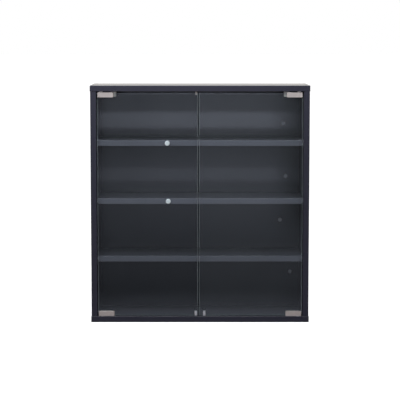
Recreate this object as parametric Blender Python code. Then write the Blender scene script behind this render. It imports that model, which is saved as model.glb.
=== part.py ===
"""A shallow display cabinet: a case of 16 mm coated board with three shelves and two glass doors.

The doors are set into the case. Each leaf is frameless glass, held at its outer corners by two
metal clamps whose pins turn in plastic bushes in the top and bottom boards. A touch latch with
two sprung plungers meets a metal clip on each leaf.

Metres, +Z up. The origin is on the floor under the middle of the case, and the doors face -Y.
"""

import math

import bmesh
import bpy
from mathutils import Matrix, Vector

# The case
WIDTH = 0.600
HEIGHT = 0.652
DEPTH = 0.180
BOARD = 0.016
GAP = 0.0003  # clearance left between two pieces that touch
SIDE_INSET = 0.001  # how far the sides stand in from the ends of the top and bottom
EDGE_INSET = 0.0005  # how far the sides' front and rear edges stand in
ARRIS = 0.0006
FRONT = -DEPTH / 2
BACK = DEPTH / 2
INNER_X = WIDTH / 2 - SIDE_INSET - BOARD
FLOOR_Z = BOARD
CEILING_Z = HEIGHT - BOARD

# The back panel, held in a groove
PANEL = 0.003
PANEL_FRONT = 0.077
GROOVE_DEPTH = 0.006

# The shelves
SHELF_TOPS = {"lower": 0.182, "middle": 0.342, "upper": 0.502}
SHELF_FRONT = FRONT + 0.020
DOWEL_RADIUS = 0.004
DOWEL_LENGTH = 0.030
DOWEL_IN_SIDE = 0.010
DOWEL_PLACES = {"front": -0.040, "rear": 0.050}
HOLE_ROOM = 0.0003  # a drilled hole's radius over that of what it holds

# The screws that hold the top and bottom to the sides
SCREW_PLACES = {"front": -0.060, "rear": 0.060}
SCREW_X = INNER_X + BOARD / 2
SCREW_HEAD = 0.0048
SCREW_HEAD_HEIGHT = 0.0038
SCREW_SHANK = 0.0033
SCREW_LENGTH = 0.051

# The glass doors
GLASS = 0.004
GLASS_FRONT = FRONT + 0.006
GLASS_BACK = GLASS_FRONT + GLASS
GLASS_MIDDLE = GLASS_FRONT + GLASS / 2
GLASS_LOW = FLOOR_Z + 0.0028
GLASS_HIGH = CEILING_Z - 0.005
LEAF_OUTER_X = INNER_X - 0.0025
MEETING_X = {"left": -0.0065, "right": -0.0025}
PIVOT_X = INNER_X - 0.013

# The glass clamps at the doors' outer corners
CLAMP_OUTER_X = INNER_X - 0.004
CLAMP_WIDTH = 0.043
CLAMP_HEIGHT = 0.0135
CLAMP_WEB = 0.0018
CLAMP_COVER = 0.0027
CLAMP_REAR = 0.0049
CLAMP_ROUNDING = 0.003
CLAMP_SCREW_X = 0.249
CLAMP_SCREW_RADIUS = 0.002
PIN_RADIUS = 0.0025
PIN_COLLAR = 0.0037
PIN_REACH = 0.007
BUSH_FLANGE = 0.005
BUSH_FLANGE_HEIGHT = 0.0014
BUSH_RADIUS = 0.004
BUSH_LENGTH = 0.0104
BUSH_BORE = 0.0029
BUSH_BORE_DEPTH = 0.0095

# The stops, the latch and the small fittings
STOP_BLOCK = (0.015, 0.0124, 0.0147)
STOP_BLOCK_X = 0.229
STOP_BLOCK_FRONT = GLASS_BACK + 0.0056
TAB_X = -0.0102
TAB_WIDTH = 0.0052
TAB_DROP = 0.0095
TAB_FOOT = 0.019
TAB_SHEET = 0.0013
PLUNGER_X = 0.0116
PLUNGER_Z = 0.0235
PLUNGER_RADIUS = 0.004
PLUNGER_LENGTH = 0.028
LATCH_FRONT = -0.068
LATCH_REAR = -0.038
LATCH_HALF_WIDTH = 0.021
LATCH_HEIGHT = 0.014
LATCH_BORE_END = -0.046
CLIP_WIDTH = 0.0068
CLIP_SHEET = 0.0012
CLIP_HEIGHT = 0.0138
BUFFER_RADIUS = 0.00675
BUFFER_PLACES = {"upper": -0.0896, "middle": -0.0874}
CAP_RADIUS = 0.0055
CAP_STEM = 0.0025
CAP_PLACES = ((0.236, 0.540), (0.243, 0.390), (0.228, 0.265), (0.257, 0.116))

SIDES = {"left": -1, "right": 1}

ROUND_STEPS = 16
SMALL_STEPS = 12


def clear_scene():
    for old in list(bpy.data.objects):
        bpy.data.objects.remove(old, do_unlink=True)


def finish(name, colour, roughness, metallic=0.0, transmission=0.0):
    """A material with one Principled shader."""
    made = bpy.data.materials.new(name)
    made.use_nodes = True
    shader = made.node_tree.nodes["Principled BSDF"]
    shader.inputs["Base Color"].default_value = (*colour, 1.0)
    shader.inputs["Roughness"].default_value = roughness
    shader.inputs["Metallic"].default_value = metallic
    shader.inputs["Transmission Weight"].default_value = transmission
    return made


def make_finishes():
    return {
        "board": finish("anthracite_board", (0.032, 0.034, 0.046), 0.38),
        "panel": finish("anthracite_back", (0.030, 0.032, 0.038), 0.30),
        "glass": finish("clear_glass", (0.85, 0.92, 0.90), 0.02, transmission=0.9),
        "nickel": finish("satin_nickel", (0.52, 0.50, 0.49), 0.32, metallic=1.0),
        "chrome": finish("bright_chrome", (0.80, 0.80, 0.82), 0.10, metallic=1.0),
        "steel": finish("zinc_steel", (0.55, 0.56, 0.58), 0.35, metallic=1.0),
        "white": finish("white_plastic", (0.82, 0.82, 0.80), 0.40),
        "clear": finish("milky_plastic", (0.80, 0.82, 0.84), 0.30),
        "grey": finish("grey_plastic", (0.36, 0.36, 0.38), 0.45),
        "black": finish("black_plastic", (0.012, 0.012, 0.014), 0.45),
        "beech": finish("beech_wood", (0.52, 0.36, 0.20), 0.65),
    }


def object_from(name, shape, look, location=(0, 0, 0), parent=None):
    """Turns a bmesh into a named object. A location is in the world, also under a parent."""
    bmesh.ops.recalc_face_normals(shape, faces=shape.faces)
    mesh = bpy.data.meshes.new(name)
    shape.to_mesh(mesh)
    shape.free()
    made = bpy.data.objects.new(name, mesh)
    bpy.context.scene.collection.objects.link(made)
    if look is not None:
        mesh.materials.append(look)
    made.location = Vector(location)
    if parent is not None:
        made.parent = parent
        made.location -= parent.location
    return made


def box_shape(size, arris=0.0):
    shape = bmesh.new()
    bmesh.ops.create_cube(shape, size=1.0)
    bmesh.ops.scale(shape, vec=size, verts=shape.verts)
    if arris:
        bmesh.ops.bevel(shape, geom=shape.edges[:], offset=arris, segments=1, affect="EDGES")
    return shape


def box(name, low, high, look, arris=ARRIS, parent=None):
    """A rectangular piece between two corners, with its arrises taken off."""
    low, high = Vector(low), Vector(high)
    return object_from(name, box_shape(high - low, arris), look, (low + high) / 2, parent)


def turned(name, outline, look, location, along=(0, 0, 1), steps=ROUND_STEPS, parent=None):
    """A round piece from (radius, height) points that run from the axis round to the axis."""
    shape = bmesh.new()
    points = [shape.verts.new((radius, 0, height)) for radius, height in outline]
    edges = [shape.edges.new(pair) for pair in zip(points, points[1:])]
    bmesh.ops.spin(
        shape,
        geom=points + edges,
        cent=(0, 0, 0),
        axis=(0, 0, 1),
        angle=2 * math.pi,
        steps=steps,
        use_merge=True,
    )
    bmesh.ops.remove_doubles(shape, verts=shape.verts, dist=1e-6)
    made = object_from(name, shape, look, location, parent)
    made.rotation_euler = Vector((0, 0, 1)).rotation_difference(Vector(along)).to_euler()
    made.data.shade_smooth()
    made.data.set_sharp_from_angle(angle=math.radians(40))
    return made


def extruded(name, outline, look, location, length, turn=None, parent=None):
    """A flat outline in XY drawn up along +Z by a length, then turned if asked."""
    shape = bmesh.new()
    points = [shape.verts.new((x, y, 0)) for x, y in outline]
    base = shape.faces.new(points)
    grown = bmesh.ops.extrude_face_region(shape, geom=[base])
    top = [item for item in grown["geom"] if isinstance(item, bmesh.types.BMVert)]
    bmesh.ops.translate(shape, vec=(0, 0, length), verts=top)
    if turn is not None:
        bmesh.ops.transform(shape, matrix=turn, verts=shape.verts)
    return object_from(name, shape, look, location, parent)


def as_cutter(made):
    made.hide_render = True
    made.display_type = "WIRE"
    return made


def cut(target, cutter):
    """Takes a helper's shape out of a piece. Helpers stay hidden."""
    as_cutter(cutter)
    step = target.modifiers.new(cutter.name, "BOOLEAN")
    step.operation = "DIFFERENCE"
    step.solver = "EXACT"
    step.object = cutter


def box_cutter(name, low, high, parent=None):
    return box(name, low, high, None, arris=0.0, parent=parent)


def hole_cutter(name, centre, along, radius, depth, steps=ROUND_STEPS, parent=None):
    """A round hole that starts at a point and runs along a direction."""
    outline = ((0, 0), (radius, 0), (radius, depth), (0, depth))
    return turned(name, outline, None, centre, along, steps, parent)


def groove_cutter(name):
    """The back panel's groove, cut round the inside of the case by one frame-like block."""
    reach_x = INNER_X + GROOVE_DEPTH
    low = (-reach_x, PANEL_FRONT - GAP, FLOOR_Z - GROOVE_DEPTH)
    high = (reach_x, PANEL_FRONT + PANEL + GAP, CEILING_Z + GROOVE_DEPTH)
    return box_cutter(name, low, high)


def make_case(looks):
    """Top, bottom, two sides and the back panel, with their grooves."""
    half = WIDTH / 2
    bottom = box("bottom_panel", (-half, FRONT, 0), (half, BACK, FLOOR_Z), looks["board"])
    top = box("top_panel", (-half, FRONT, CEILING_Z), (half, BACK, HEIGHT), looks["board"])
    groove = groove_cutter("back_groove")
    cut(bottom, groove)
    cut(top, groove)
    sides = {}
    for side, sign in SIDES.items():
        near, far = sorted((sign * INNER_X, sign * (INNER_X + BOARD)))
        low = (near, FRONT + EDGE_INSET, FLOOR_Z + GAP)
        high = (far, BACK - EDGE_INSET, CEILING_Z - GAP)
        sides[side] = box(side + "_side", low, high, looks["board"])
        cut(sides[side], groove)
    room = GROOVE_DEPTH - GAP
    low = (-INNER_X - room, PANEL_FRONT, FLOOR_Z - room)
    high = (INNER_X + room, PANEL_FRONT + PANEL, CEILING_Z + room)
    panel = box("back_panel", low, high, looks["panel"], arris=0.0003)
    return top, bottom, sides, panel


def make_shelves(looks, sides):
    """Three fixed shelves, each on four wooden dowels hidden in its ends and the sides."""
    for level, height in SHELF_TOPS.items():
        low = (-INNER_X + GAP, SHELF_FRONT, height - BOARD)
        high = (INNER_X - GAP, PANEL_FRONT - GAP, height)
        shelf = box("shelf_" + level, low, high, looks["board"])
        for side, sign in SIDES.items():
            for place, y in DOWEL_PLACES.items():
                label = f"{level}_{side}_{place}"
                add_dowel(label, sign, y, height - BOARD / 2, looks, shelf, sides[side])


def add_dowel(label, sign, y, z, looks, shelf, side_board):
    half = DOWEL_LENGTH / 2
    chamfer = 0.0008
    outline = (
        (0, -half),
        (DOWEL_RADIUS - chamfer, -half),
        (DOWEL_RADIUS, -half + chamfer),
        (DOWEL_RADIUS, half - chamfer),
        (DOWEL_RADIUS - chamfer, half),
        (0, half),
    )
    outer_x = INNER_X + DOWEL_IN_SIDE
    centre = (sign * (outer_x - half), y, z)
    turned("dowel_" + label, outline, looks["beech"], centre, (sign, 0, 0), SMALL_STEPS)
    depth = DOWEL_LENGTH + 2 * GAP
    start = (sign * (outer_x + GAP), y, z)
    radius = DOWEL_RADIUS + HOLE_ROOM
    hole = hole_cutter("hole_" + label, start, (-sign, 0, 0), radius, depth, SMALL_STEPS)
    cut(shelf, hole)
    cut(side_board, hole)


def screw_outline():
    """Head up at zero, with a round socket, a short cone under the head and a blunt point."""
    socket = 0.0021
    return (
        (0, -0.0028),
        (socket, -0.0028),
        (socket, 0),
        (SCREW_HEAD - 0.0003, 0),
        (SCREW_HEAD, -0.0003),
        (SCREW_HEAD, -SCREW_HEAD_HEIGHT),
        (SCREW_SHANK, -SCREW_HEAD_HEIGHT - 0.0009),
        (SCREW_SHANK, -SCREW_LENGTH + 0.003),
        (0, -SCREW_LENGTH),
    )


def screw_hole_outline():
    room = HOLE_ROOM
    neck = SCREW_HEAD_HEIGHT + 0.0009
    above = 0.001
    return (
        (0, above),
        (SCREW_HEAD + room, above),
        (SCREW_HEAD + room, -SCREW_HEAD_HEIGHT - 2 * room),
        (SCREW_SHANK + room, -neck - 2 * room),
        (SCREW_SHANK + room, -SCREW_LENGTH - 2 * room),
        (0, -SCREW_LENGTH - 2 * room),
    )


def add_case_screws(looks, top, bottom, sides):
    """Two long screws at each corner, through the top or bottom into the end of a side."""
    for side, sign in SIDES.items():
        for place, y in SCREW_PLACES.items():
            for level, board, z, up in (
                ("top", top, HEIGHT - GAP, 1),
                ("bottom", bottom, GAP, -1),
            ):
                label = f"{level}_{side}_{place}"
                at = (sign * SCREW_X, y, z)
                along = (0, 0, up)
                outline = screw_outline()
                turned("case_screw_" + label, outline, looks["steel"], at, along, SMALL_STEPS)
                outline = screw_hole_outline()
                hole = turned("screw_hole_" + label, outline, None, at, along, SMALL_STEPS)
                cut(board, hole)
                cut(sides[side], hole)


def bush_outline():
    return (
        (0, BUSH_BORE_DEPTH),
        (BUSH_BORE, BUSH_BORE_DEPTH),
        (BUSH_BORE, 0),
        (BUSH_FLANGE, 0),
        (BUSH_FLANGE, BUSH_FLANGE_HEIGHT),
        (BUSH_RADIUS, BUSH_FLANGE_HEIGHT),
        (BUSH_RADIUS, BUSH_LENGTH),
        (0, BUSH_LENGTH),
    )


def add_bushes(looks, top, bottom):
    """The pins' bushes: the top one's flange hangs under the board, the bottom one's is let in."""
    for side, sign in SIDES.items():
        x = sign * PIVOT_X
        face_z = CEILING_Z - GAP - BUSH_FLANGE_HEIGHT
        at = (x, GLASS_MIDDLE, face_z)
        turned(f"pivot_bush_{side}_top", bush_outline(), looks["white"], at)
        depth = BUSH_LENGTH - BUSH_FLANGE_HEIGHT + 2 * GAP
        start = (x, GLASS_MIDDLE, CEILING_Z - GAP)
        radius = BUSH_RADIUS + HOLE_ROOM
        cut(top, hole_cutter(f"bush_hole_{side}_top", start, (0, 0, 1), radius, depth))

        at = (x, GLASS_MIDDLE, FLOOR_Z + GAP)
        turned(f"pivot_bush_{side}_bottom", bush_outline(), looks["white"], at, (0, 0, -1))
        depth = BUSH_LENGTH + GAP
        hole = hole_cutter(f"bush_hole_{side}_bottom", at, (0, 0, -1), radius, depth)
        cut(bottom, hole)
        seat_radius = BUSH_FLANGE + HOLE_ROOM
        seat_depth = BUSH_FLANGE_HEIGHT + GAP
        seat = hole_cutter(f"bush_seat_{side}", at, (0, 0, -1), seat_radius, seat_depth)
        cut(bottom, seat)


def make_door(side, sign, looks):
    """One leaf with its two clamps, their screws and pins, and the latch's clip."""
    pivot = bpy.data.objects.new(side + "_door_pivot", None)
    pivot.location = (sign * PIVOT_X, GLASS_MIDDLE, 0)
    bpy.context.scene.collection.objects.link(pivot)
    near, far = sorted((MEETING_X[side], sign * LEAF_OUTER_X))
    low = (near, GLASS_FRONT, GLASS_LOW)
    high = (far, GLASS_BACK, GLASS_HIGH)
    box(side + "_glass", low, high, looks["glass"], arris=0.0004, parent=pivot)
    for level, up in (("top", 1), ("bottom", -1)):
        add_clamp(f"{side}_{level}", sign, up, looks, pivot)
    add_strike_clip(side, sign, looks, pivot)


def clamp_outline():
    """The clamp seen from the front: outer end at zero, glass edge at zero, free corners round."""
    points = [(0, 0), (0, CLAMP_HEIGHT - 0.001), (0.001, CLAMP_HEIGHT)]
    centre_x = CLAMP_WIDTH - CLAMP_ROUNDING
    centre_z = CLAMP_HEIGHT - CLAMP_ROUNDING
    for step in range(5):
        angle = math.radians(90 - 90 * step / 4)
        x = centre_x + CLAMP_ROUNDING * math.cos(angle)
        z = centre_z + CLAMP_ROUNDING * math.sin(angle)
        points.append((x, z))
    points += [(CLAMP_WIDTH, 0.0008), (CLAMP_WIDTH - 0.0008, 0)]
    return points


def add_clamp(label, sign, up, looks, pivot):
    """A U of metal over the edge of the glass, with its screw in the rear leg and its pin."""
    glass_edge = GLASS_HIGH if up > 0 else GLASS_LOW
    outer_z = glass_edge + up * (GAP + CLAMP_WEB)
    rear = GLASS_BACK + GAP + CLAMP_REAR
    front = GLASS_FRONT - GAP - CLAMP_COVER
    outline = [(-sign * x, -up * z) for x, z in clamp_outline()]
    stand = Matrix.Rotation(math.radians(90), 4, "X")
    at = (sign * CLAMP_OUTER_X, rear, outer_z)
    look = looks["nickel"]
    clamp = extruded("clamp_" + label, outline, look, at, rear - front, stand, pivot)
    slot_low = (-0.4, GLASS_FRONT - GAP, -1)
    slot_high = (0.4, GLASS_BACK + GAP, glass_edge + GAP)
    if up < 0:
        slot_low = (-0.4, GLASS_FRONT - GAP, glass_edge - GAP)
        slot_high = (0.4, GLASS_BACK + GAP, 1)
    cut(clamp, box_cutter("clamp_slot_" + label, slot_low, slot_high, pivot))

    pin_hole_start = (sign * PIVOT_X, GLASS_MIDDLE, glass_edge)
    radius = PIN_RADIUS + HOLE_ROOM
    hole = hole_cutter(
        "pin_hole_" + label, pin_hole_start, (0, 0, up), radius, 0.005, parent=pivot
    )
    cut(clamp, hole)
    add_pin(label, sign, up, glass_edge, outer_z, looks, pivot)

    screw_z = outer_z - up * CLAMP_HEIGHT * 0.58
    start = (sign * CLAMP_SCREW_X, rear + 0.001, screw_z)
    radius = CLAMP_SCREW_RADIUS + HOLE_ROOM
    depth = CLAMP_REAR + 0.002
    name = "clamp_screw_hole_" + label
    hole = hole_cutter(name, start, (0, -1, 0), radius, depth, SMALL_STEPS, pivot)
    cut(clamp, hole)
    length = CLAMP_REAR - 0.0004
    socket = 0.001
    outline = (
        (0, -0.0016),
        (socket, -0.0016),
        (socket, 0),
        (CLAMP_SCREW_RADIUS, 0),
        (CLAMP_SCREW_RADIUS, -length),
        (0, -length),
    )
    at = (sign * CLAMP_SCREW_X, rear - 0.0002, screw_z)
    name = "clamp_screw_" + label
    turned(name, outline, looks["steel"], at, (0, 1, 0), SMALL_STEPS, pivot)


def add_pin(label, sign, up, glass_edge, outer_z, looks, pivot):
    """The hinge pin stands in the clamp's web. The top one has a collar under its bush."""
    start = glass_edge + up * 2 * GAP
    collar_low = abs(outer_z - start) + GAP
    board_face = CEILING_Z if up > 0 else FLOOR_Z
    end = abs(board_face - start) + PIN_REACH
    outline = [(0, 0), (PIN_RADIUS, 0)]
    if up > 0:
        collar_high = collar_low + 0.0006
        outline += [
            (PIN_RADIUS, collar_low),
            (PIN_COLLAR, collar_low),
            (PIN_COLLAR, collar_high),
            (PIN_RADIUS, collar_high),
        ]
    outline += [(PIN_RADIUS, end - 0.0006), (PIN_RADIUS - 0.0006, end), (0, end)]
    at = (sign * PIVOT_X, GLASS_MIDDLE, start)
    turned("pivot_pin_" + label, outline, looks["steel"], at, (0, 0, up), parent=pivot)


def add_strike_clip(side, sign, looks, pivot):
    """A bent metal clip over the leaf's lower edge, which the latch's plunger meets."""
    x = sign * PLUNGER_X
    low_z = GLASS_LOW - GAP - 0.0013
    low = (x - CLIP_WIDTH / 2, GLASS_FRONT - GAP - CLIP_SHEET, low_z)
    high = (x + CLIP_WIDTH / 2, GLASS_BACK + GAP + CLIP_SHEET, low_z + CLIP_HEIGHT)
    clip = box("strike_clip_" + side, low, high, looks["chrome"], 0.0003, pivot)
    low = (x - CLIP_WIDTH, GLASS_FRONT - GAP, GLASS_LOW - GAP)
    high = (x + CLIP_WIDTH, GLASS_BACK + GAP, GLASS_LOW + 2 * CLIP_HEIGHT)
    cut(clip, box_cutter("clip_slot_" + side, low, high, pivot))


def make_latch(looks):
    """The double touch latch: one housing on the bottom board, and two sprung plungers."""
    low = (-LATCH_HALF_WIDTH, LATCH_FRONT, FLOOR_Z + GAP)
    high = (LATCH_HALF_WIDTH, LATCH_REAR, FLOOR_Z + GAP + LATCH_HEIGHT)
    housing = box("latch_body", low, high, looks["black"], arris=0.001)
    tip_y = GLASS_BACK + CLIP_SHEET + 2 * GAP
    chamfer = 0.0006
    outline = (
        (0, 0),
        (PLUNGER_RADIUS - chamfer, 0),
        (PLUNGER_RADIUS, chamfer),
        (PLUNGER_RADIUS, PLUNGER_LENGTH),
        (0, PLUNGER_LENGTH),
    )
    for side, sign in SIDES.items():
        at = (sign * PLUNGER_X, tip_y, PLUNGER_Z)
        turned("latch_plunger_" + side, outline, looks["steel"], at, (0, 1, 0))
        start = (sign * PLUNGER_X, LATCH_FRONT - 0.001, PLUNGER_Z)
        depth = LATCH_BORE_END - LATCH_FRONT + 0.001
        radius = PLUNGER_RADIUS + 0.0004
        bore = hole_cutter("latch_bore_" + side, start, (0, 1, 0), radius, depth)
        cut(housing, bore)


def make_stops(looks):
    """A block behind each upper clamp, and a bent tab behind the left leaf's free corner."""
    width, depth, height = STOP_BLOCK
    top = CEILING_Z - GAP
    for side, sign in SIDES.items():
        near, far = sorted((sign * STOP_BLOCK_X, sign * (STOP_BLOCK_X + width)))
        low = (near, STOP_BLOCK_FRONT, top - height)
        high = (far, STOP_BLOCK_FRONT + depth, top)
        box("stop_block_" + side, low, high, looks["white"], arris=0.0008)
    outline = (
        (0, 0),
        (-TAB_DROP, 0),
        (-TAB_DROP, TAB_SHEET),
        (-TAB_SHEET, TAB_SHEET),
        (-TAB_SHEET, TAB_FOOT),
        (0, TAB_FOOT),
    )
    # The outline's X becomes the world's Z, its Y stays, and its depth runs along -X.
    turn = Matrix.Rotation(math.radians(-90), 4, "Y")
    at = (TAB_X + TAB_WIDTH / 2, GLASS_BACK + 2 * GAP, top)
    extruded("top_stop_tab", outline, looks["nickel"], at, TAB_WIDTH, turn)


def make_buffers(looks):
    """Round buffers on two shelf edges, which keep the left leaf off the boards."""
    reach = SHELF_FRONT - GLASS_BACK - 2 * GAP
    outline = (
        (0, 0),
        (BUFFER_RADIUS, 0),
        (BUFFER_RADIUS, reach - 0.0018),
        (BUFFER_RADIUS - 0.0014, reach),
        (0.003, reach),
        (0.003, reach - 0.0014),
        (0, reach - 0.0014),
    )
    for level, x in BUFFER_PLACES.items():
        at = (x, SHELF_FRONT - GAP, SHELF_TOPS[level] - BOARD / 2)
        turned("buffer_" + level, outline, looks["clear"], at, (0, -1, 0))


def make_caps(looks, panel):
    """Push-in caps that close the fixing holes in the back panel, one in each compartment."""
    head_low = PANEL + GAP
    outline = (
        (0, 0),
        (CAP_STEM, 0),
        (CAP_STEM, head_low),
        (CAP_RADIUS, head_low),
        (CAP_RADIUS - 0.0004, head_low + 0.0010),
        (CAP_RADIUS - 0.0022, head_low + 0.0017),
        (0, head_low + 0.0019),
    )
    for number, (x, z) in enumerate(CAP_PLACES, 1):
        at = (x, PANEL_FRONT + PANEL, z)
        turned(f"wall_cap_{number}", outline, looks["grey"], at, (0, -1, 0))
        start = (x, PANEL_FRONT + 2 * PANEL, z)
        radius = CAP_STEM + HOLE_ROOM
        hole = hole_cutter(f"cap_hole_{number}", start, (0, -1, 0), radius, 3 * PANEL)
        cut(panel, hole)


def main():
    clear_scene()
    looks = make_finishes()
    top, bottom, sides, panel = make_case(looks)
    make_shelves(looks, sides)
    add_case_screws(looks, top, bottom, sides)
    add_bushes(looks, top, bottom)
    for side, sign in SIDES.items():
        make_door(side, sign, looks)
    make_latch(looks)
    make_stops(looks)
    make_buffers(looks)
    make_caps(looks, panel)


main()
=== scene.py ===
"""The looks of a shallow display cabinet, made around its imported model.

The case is anthracite coated board with edge bands, the doors are two frameless glass leaves on
corner clamps, and a touch latch holds them shut. Every piece takes its place from the model's
nodes and rides on the body that its node belongs to. Metres, +Z up, doors towards -Y.
"""

import math

import bmesh
import bpy
from bpy.props import FloatProperty, FloatVectorProperty, PointerProperty
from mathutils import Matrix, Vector


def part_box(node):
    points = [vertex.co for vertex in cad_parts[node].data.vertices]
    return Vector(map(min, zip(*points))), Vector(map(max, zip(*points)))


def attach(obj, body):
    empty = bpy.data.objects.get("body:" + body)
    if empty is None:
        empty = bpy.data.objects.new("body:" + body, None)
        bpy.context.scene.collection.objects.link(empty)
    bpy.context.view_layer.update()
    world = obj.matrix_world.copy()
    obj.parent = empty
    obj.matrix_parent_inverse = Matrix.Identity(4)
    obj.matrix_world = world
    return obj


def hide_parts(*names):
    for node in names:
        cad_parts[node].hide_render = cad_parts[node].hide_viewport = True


bl_info = {
    "name": "Display Cabinet Looks",
    "version": (1, 0, 0),
    "blender": (4, 5, 0),
    "location": "3D View > Sidebar > Cabinet",
    "description": "Makes the boards, glass, fittings and studio of a display cabinet",
    "category": "Object",
}

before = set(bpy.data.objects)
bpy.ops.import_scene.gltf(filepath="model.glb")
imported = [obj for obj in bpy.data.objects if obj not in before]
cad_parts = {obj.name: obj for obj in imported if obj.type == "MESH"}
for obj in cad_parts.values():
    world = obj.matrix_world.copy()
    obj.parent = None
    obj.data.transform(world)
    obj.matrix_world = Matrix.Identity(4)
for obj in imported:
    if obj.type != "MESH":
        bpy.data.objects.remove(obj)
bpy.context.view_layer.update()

SIDES = {"left": -1, "right": 1}
LEVELS = {"top": 1, "bottom": -1}
SHELVES = ("lower", "middle", "upper")
X, Y, Z = range(3)

# Rooms between pieces, as the model leaves them
GAP = 0.0003
HOLE_ROOM = 0.0003
PLUNGER_BORE_ROOM = 0.0004

# How far a cutter runs past what it cuts: a little, well past it, past every piece
CUT_PAST = 0.001
CUT_WELL_PAST = 0.01
BEYOND_ALL = 1.0

# How near a face's plane a corner lies on it, and the decimals that tell places apart
SAME_PLANE = 1e-6
PLACE_DIGITS = 7

# Sizes of bushes, pins, screws and caps that a node's own box doesn't give
BUSH_FLANGE_HEIGHT = 0.0014
BUSH_RADIUS = 0.004
BUSH_BORE = 0.0029
BUSH_BORE_DEPTH = 0.0095
PIN_RADIUS = 0.0025
PIN_COLLAR_HEIGHT = 0.0006
CASE_SCREW_HEAD_HEIGHT = 0.0038
CASE_SCREW_CORE = 0.0024
CASE_SCREW_THREAD = 0.0033
PLUNGER_BORE_DEPTH = 0.022
CAP_STEM = 0.0025
CLIP_ARRIS = 0.0002
CAPS = range(1, 5)

# Sides of a round piece, and of a small one
FINE_STEPS = 48
SMALL_STEPS = 32

# Where the two leaves meet, and half the width over which their finish changes there
SEAM_X = (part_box("left_glass")[1].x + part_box("right_glass")[0].x) / 2
SEAM_BLUR = 0.0005

# How bright the front of the room is, by degrees above the horizon: two strips of light, and a
# broad one at the horizon
ROOM_LIGHT = (
    (-11.8, 0.06), (-10.62, 0.10), (-10.46, 0.33), (-10.1, 0.22),
    (-9.6, 0.09), (-8.72, 0.14), (-7.68, 0.17), (-6.39, 0.28),
    (-5.53, 0.32), (-5.36, 0.55), (-5.01, 0.51), (-4.93, 0.34),
    (-4.24, 0.22), (-3.81, 0.15), (-3.50, 0.30), (-3.40, 0.76),
    (-2.91, 0.78), (-2.81, 0.31), (-2.16, 0.27), (-2.10, 1.30),
    (1.6, 1.30), (2.0, 0.24),
)


# ---------------- shapes


def add_box(shape, low, high, radius=0.0, steps=3, look=0, pick=None):
    """A box between two corners. The edges that pick chooses, or all of them, are rounded."""
    low, high = Vector(low), Vector(high)
    corners = bmesh.ops.create_cube(shape, size=1.0)["verts"]
    for corner in corners:
        corner.co = (low + high) / 2 + (high - low) * corner.co
    for face in dict.fromkeys(face for corner in corners for face in corner.link_faces):
        face.material_index = look
    edges = dict.fromkeys(edge for corner in corners for edge in corner.link_edges)
    chosen = [edge for edge in edges if pick is None or pick(edge)]
    if radius and chosen:
        bmesh.ops.bevel(
            shape,
            geom=chosen,
            offset=radius,
            segments=steps,
            profile=0.5,
            affect="EDGES",
            material=look,
        )


def add_turned(shape, outline, at, along, steps=FINE_STEPS, hexagon=()):
    """A round body from (radius, height) points, from the axis round to the axis.

    The points whose numbers are in hexagon make six-sided rings, as in a key socket.
    """
    turn = Vector((0, 0, 1)).rotation_difference(Vector(along)).to_matrix()
    rings = []
    for number, (radius, height) in enumerate(outline):
        ring = []
        for step in range(steps if radius else 1):
            angle = 2 * math.pi * step / steps
            reach = radius
            if number in hexagon:
                reach /= math.cos(angle % (math.pi / 3) - math.pi / 6)
            point = Vector((reach * math.cos(angle), reach * math.sin(angle), height))
            ring.append(shape.verts.new(Vector(at) + turn @ point))
        rings.append(ring)
    for one, two in zip(rings, rings[1:]):
        for step in range(steps):
            after = (step + 1) % steps
            corners = [one[step % len(one)], one[after % len(one)]]
            corners += [two[after % len(two)], two[step % len(two)]]
            shape.faces.new(list(dict.fromkeys(corners)))


def add_drawn(shape, outline, at, right, up, length):
    """A flat outline, whose two numbers run along right and up, drawn out square to both."""
    at, right, up = Vector(at), Vector(right), Vector(up)
    points = [shape.verts.new(at + a * right + b * up) for a, b in outline]
    base = shape.faces.new(points)
    grown = bmesh.ops.extrude_face_region(shape, geom=[base])["geom"]
    far = [item for item in grown if isinstance(item, bmesh.types.BMVert)]
    bmesh.ops.translate(shape, vec=right.cross(up) * length, verts=far)


def arc(centre, radius, start, end, steps):
    """Points along a round corner, from one angle to another in degrees."""
    points = []
    for step in range(steps + 1):
        angle = math.radians(start + (end - start) * step / steps)
        points.append((centre[0] + radius * math.cos(angle), centre[1] + radius * math.sin(angle)))
    return points


def domed(radius, low, high, rise, steps=5):
    """Outline points of a round edge, from the rim at low up and in to the axis at high."""
    points = []
    for step in range(steps + 1):
        angle = math.pi / 2 * step / steps
        points.append((radius - rise * (1 - math.cos(angle)), low + rise * math.sin(angle)))
    return points + [(0, high)]


def object_from(shape, name):
    """Turns a bmesh into an object with its faces pointing out."""
    bmesh.ops.recalc_face_normals(shape, faces=shape.faces)
    mesh = bpy.data.meshes.new(name)
    shape.to_mesh(mesh)
    shape.free()
    made = bpy.data.objects.new(name, mesh)
    bpy.context.scene.collection.objects.link(made)
    return made


def settle(piece):
    """Applies the piece's modifiers to its mesh."""
    graph = bpy.context.evaluated_depsgraph_get()
    mesh = bpy.data.meshes.new_from_object(piece.evaluated_get(graph), depsgraph=graph)
    piece.modifiers.clear()
    mesh.name = piece.name
    piece.data = mesh


def put_in_order(piece):
    """Sorts a mesh by place, because a cut leaves its parts in another order on each run."""
    corners = [
        tuple(round(part, PLACE_DIGITS) for part in corner.co) for corner in piece.data.vertices
    ]
    order = sorted(range(len(corners)), key=corners.__getitem__)
    ranks = {number: rank for rank, number in enumerate(order)}
    faces = []
    for face in piece.data.polygons:
        row = [ranks[number] for number in face.vertices]
        first = row.index(min(row))
        faces.append((row[first:] + row[:first], face.material_index))
    faces.sort()
    mesh = bpy.data.meshes.new(piece.name)
    mesh.from_pydata([corners[number] for number in order], [], [row for row, finish in faces])
    mesh.polygons.foreach_set("material_index", [finish for row, finish in faces])
    piece.data = mesh


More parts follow.
